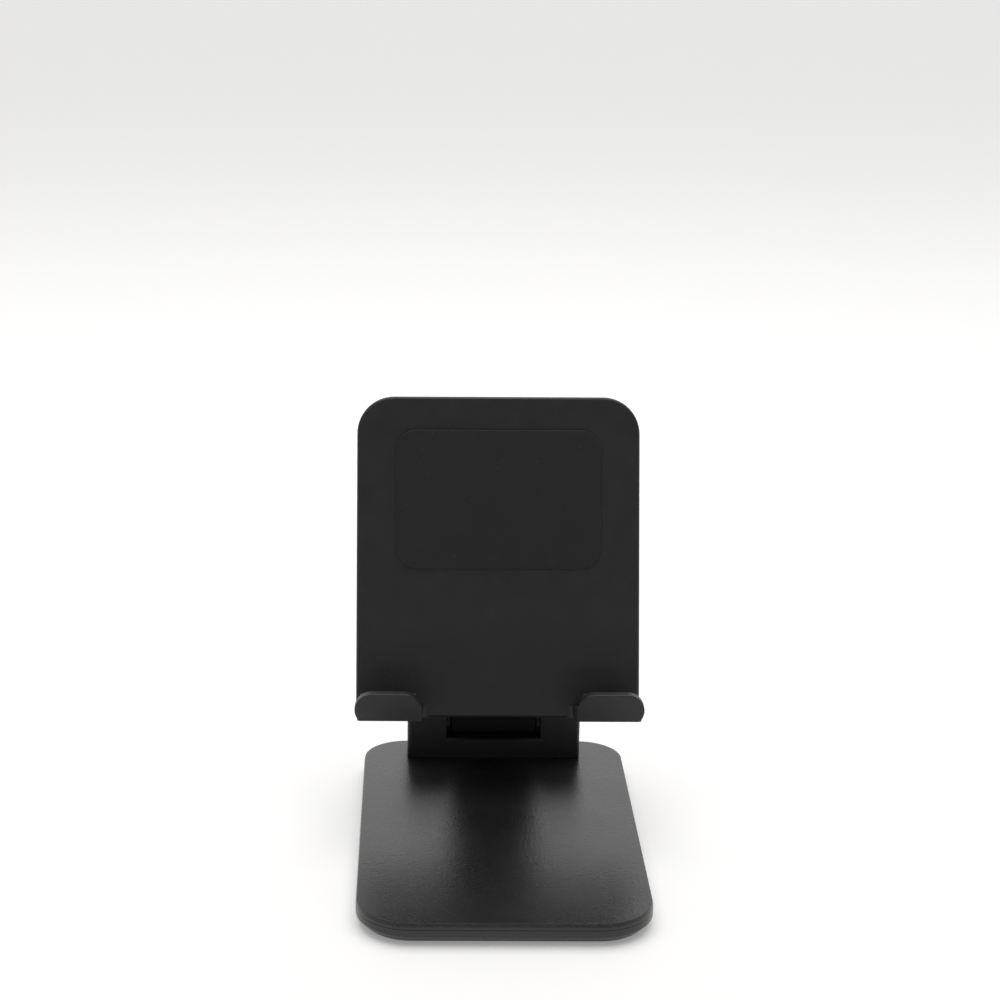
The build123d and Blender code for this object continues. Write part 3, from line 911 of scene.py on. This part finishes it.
count = 0
for node, places, (low, high), head, shank_radius, pitch in (
    ("base_screws", BASE_SCREWS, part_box("base_screws"), (1.8, 1.0), 1.0, 0.7),
    ("block_screws", BLOCK_SCREWS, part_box("block_screws"), (2.2, 0.95), 1.1, 0.8),
):
    seat = low.z + head[1] * MM
    shank = (shank_radius, (high.z - seat) / MM)
    seats = [Vector((x * MM, y * MM, seat)) for x, y in places]
    count += screw_set(node, "base", seats, UPRIGHT, head, shank, pitch)
cover_seat = arm_middle + arm_rearward * (ARM_HALF - COVER_HEAD[1]) * MM
cover_seats = [cover_seat + arm_direction * side * COVER_SPACING / 2 * MM for side in (-1, 1)]
inward = (atan2(arm_rearward.y, -arm_rearward.z), 0.0, 0.0)
count += screw_set(
    "cover_screws", "arm", cover_seats, inward, COVER_HEAD, COVER_SHANK, COVER_PITCH
)
print("screws", count)

# %% [markdown]
# ## Camera, floor and light
# The stand is looked at from a little above, nearly head on, through a long lens. It
# stands on a plain sheet of white acrylic, lit a little from below as on a product table,
# which lifts the bevel under the base. Black plastic shows almost nothing but reflections,
# so the light does the drawing: a pale surround that is brightest low behind the stand
# gives the base its sheen, a patch overhead and a broad softbox draw the rims, and the side
# towards the camera stays dim, so that the faces that point this way are nearly black.

# %% Camera
LENS_TO_SENSOR = 2.2
SHIFT = 0.07
STANDPOINT = Vector((-19.23, -483.46, 225.04)) * MM
ELEVATION, HEADING, ROLL = radians(16.07), radians(0.29), radians(-0.32)
camera_data = bpy.data.cameras.new("camera")
camera_data.sensor_width = 36.0
camera_data.lens = camera_data.sensor_width * LENS_TO_SENSOR
camera_data.shift_x = SHIFT
camera_data.clip_start, camera_data.clip_end = 0.01, 20.0
camera = bpy.data.objects.new("camera", camera_data)
bpy.context.scene.collection.objects.link(camera)
ahead = Vector(
    (sin(HEADING) * cos(ELEVATION), cos(HEADING) * cos(ELEVATION), -sin(ELEVATION))
)
right = Vector((cos(HEADING), -sin(HEADING), 0))
down = ahead.cross(right)
rolled_right = right * cos(ROLL) + down * sin(ROLL)
rolled_up = right * sin(ROLL) - down * cos(ROLL)
turn = Matrix((rolled_right, rolled_up, -ahead)).transposed().to_4x4()
camera.matrix_world = Matrix.Translation(STANDPOINT) @ turn
bpy.context.scene.camera = camera
bpy.context.scene.view_settings.view_transform = "Standard"
print("lens", round(camera_data.lens, 1), "mm")

# %% Floor
FLOOR_REACH, FLOOR_GLOW = 4.0, 0.24
floor_mesh = bpy.data.meshes.new("floor")
edit = bmesh.new()
bmesh.ops.create_grid(edit, x_segments=1, y_segments=1, size=FLOOR_REACH)
edit.to_mesh(floor_mesh)
edit.free()
floor_material, _, floor_shader, _ = start_material("lit_white_acrylic")
floor_shader.inputs["Base Color"].default_value = linear("F2F1EF")
floor_shader.inputs["Roughness"].default_value = 0.8
floor_shader.inputs["Emission Color"].default_value = linear("FFFFFF")
floor_shader.inputs["Emission Strength"].default_value = FLOOR_GLOW
floor_mesh.materials.append(floor_material)
floor = bpy.data.objects.new("floor", floor_mesh)
bpy.context.scene.collection.objects.link(floor)
print("floor", [round(side, 1) for side in floor.dimensions], "m")

# %% Light
FRONT_GLOW, REAR_GLOW, OVERHEAD_GLOW = 0.22, 1.6, 1.1
GLOW_START, GLOW_END = -0.2, 0.8
PATCH_EDGE, PATCH_FULL = 0.75, 0.95
SOFTBOX_PLACE, SOFTBOX_TARGET = Vector((0.0, 0.25, 0.9)), Vector((0, 0, 0.03))
SOFTBOX_SIZE, SOFTBOX_POWER = (1.2, 0.8), 4.0
world = bpy.data.worlds.new("pale surround")
bpy.context.scene.world = world
world.use_nodes = True
sky = world.node_tree
sky.nodes.clear()
direction = put(sky, "ShaderNodeTexCoord").outputs["Generated"]
axis = put(sky, "ShaderNodeSeparateXYZ", {"Vector": direction})
behind = put(
    sky,
    "ShaderNodeMath",
    {0: axis.outputs["Z"], 1: -1.0, 2: axis.outputs["Y"]},
    operation="MULTIPLY_ADD",
).outputs[0]
rearward = put(
    sky,
    "ShaderNodeMapRange",
    {
        "Value": behind,
        "From Min": GLOW_START,
        "From Max": GLOW_END,
        "To Min": FRONT_GLOW,
        "To Max": REAR_GLOW,
    },
    interpolation_type="SMOOTHSTEP",
)
zenith = put(
    sky,
    "ShaderNodeMapRange",
    {
        "Value": axis.outputs["Z"],
        "From Min": PATCH_EDGE,
        "From Max": PATCH_FULL,
        "To Max": OVERHEAD_GLOW,
    },
    interpolation_type="SMOOTHSTEP",
)
strength = put(
    sky,
    "ShaderNodeMath",
    {0: rearward.outputs["Result"], 1: zenith.outputs["Result"]},
    operation="ADD",
)
glow = put(
    sky, "ShaderNodeBackground", {"Color": linear("FAFAFA"), "Strength": strength.outputs[0]}
)
put(sky, "ShaderNodeOutputWorld", {"Surface": glow.outputs[0]})

softbox = bpy.data.lights.new("overhead", "AREA")
softbox.shape = "RECTANGLE"
softbox.size, softbox.size_y = SOFTBOX_SIZE
softbox.energy = SOFTBOX_POWER
lamp = bpy.data.objects.new("overhead", softbox)
lamp.location = SOFTBOX_PLACE
lamp.rotation_mode = "QUATERNION"
lamp.rotation_quaternion = (SOFTBOX_TARGET - SOFTBOX_PLACE).to_track_quat("-Z", "Y")
bpy.context.scene.collection.objects.link(lamp)
print("softbox", softbox.energy, "W")
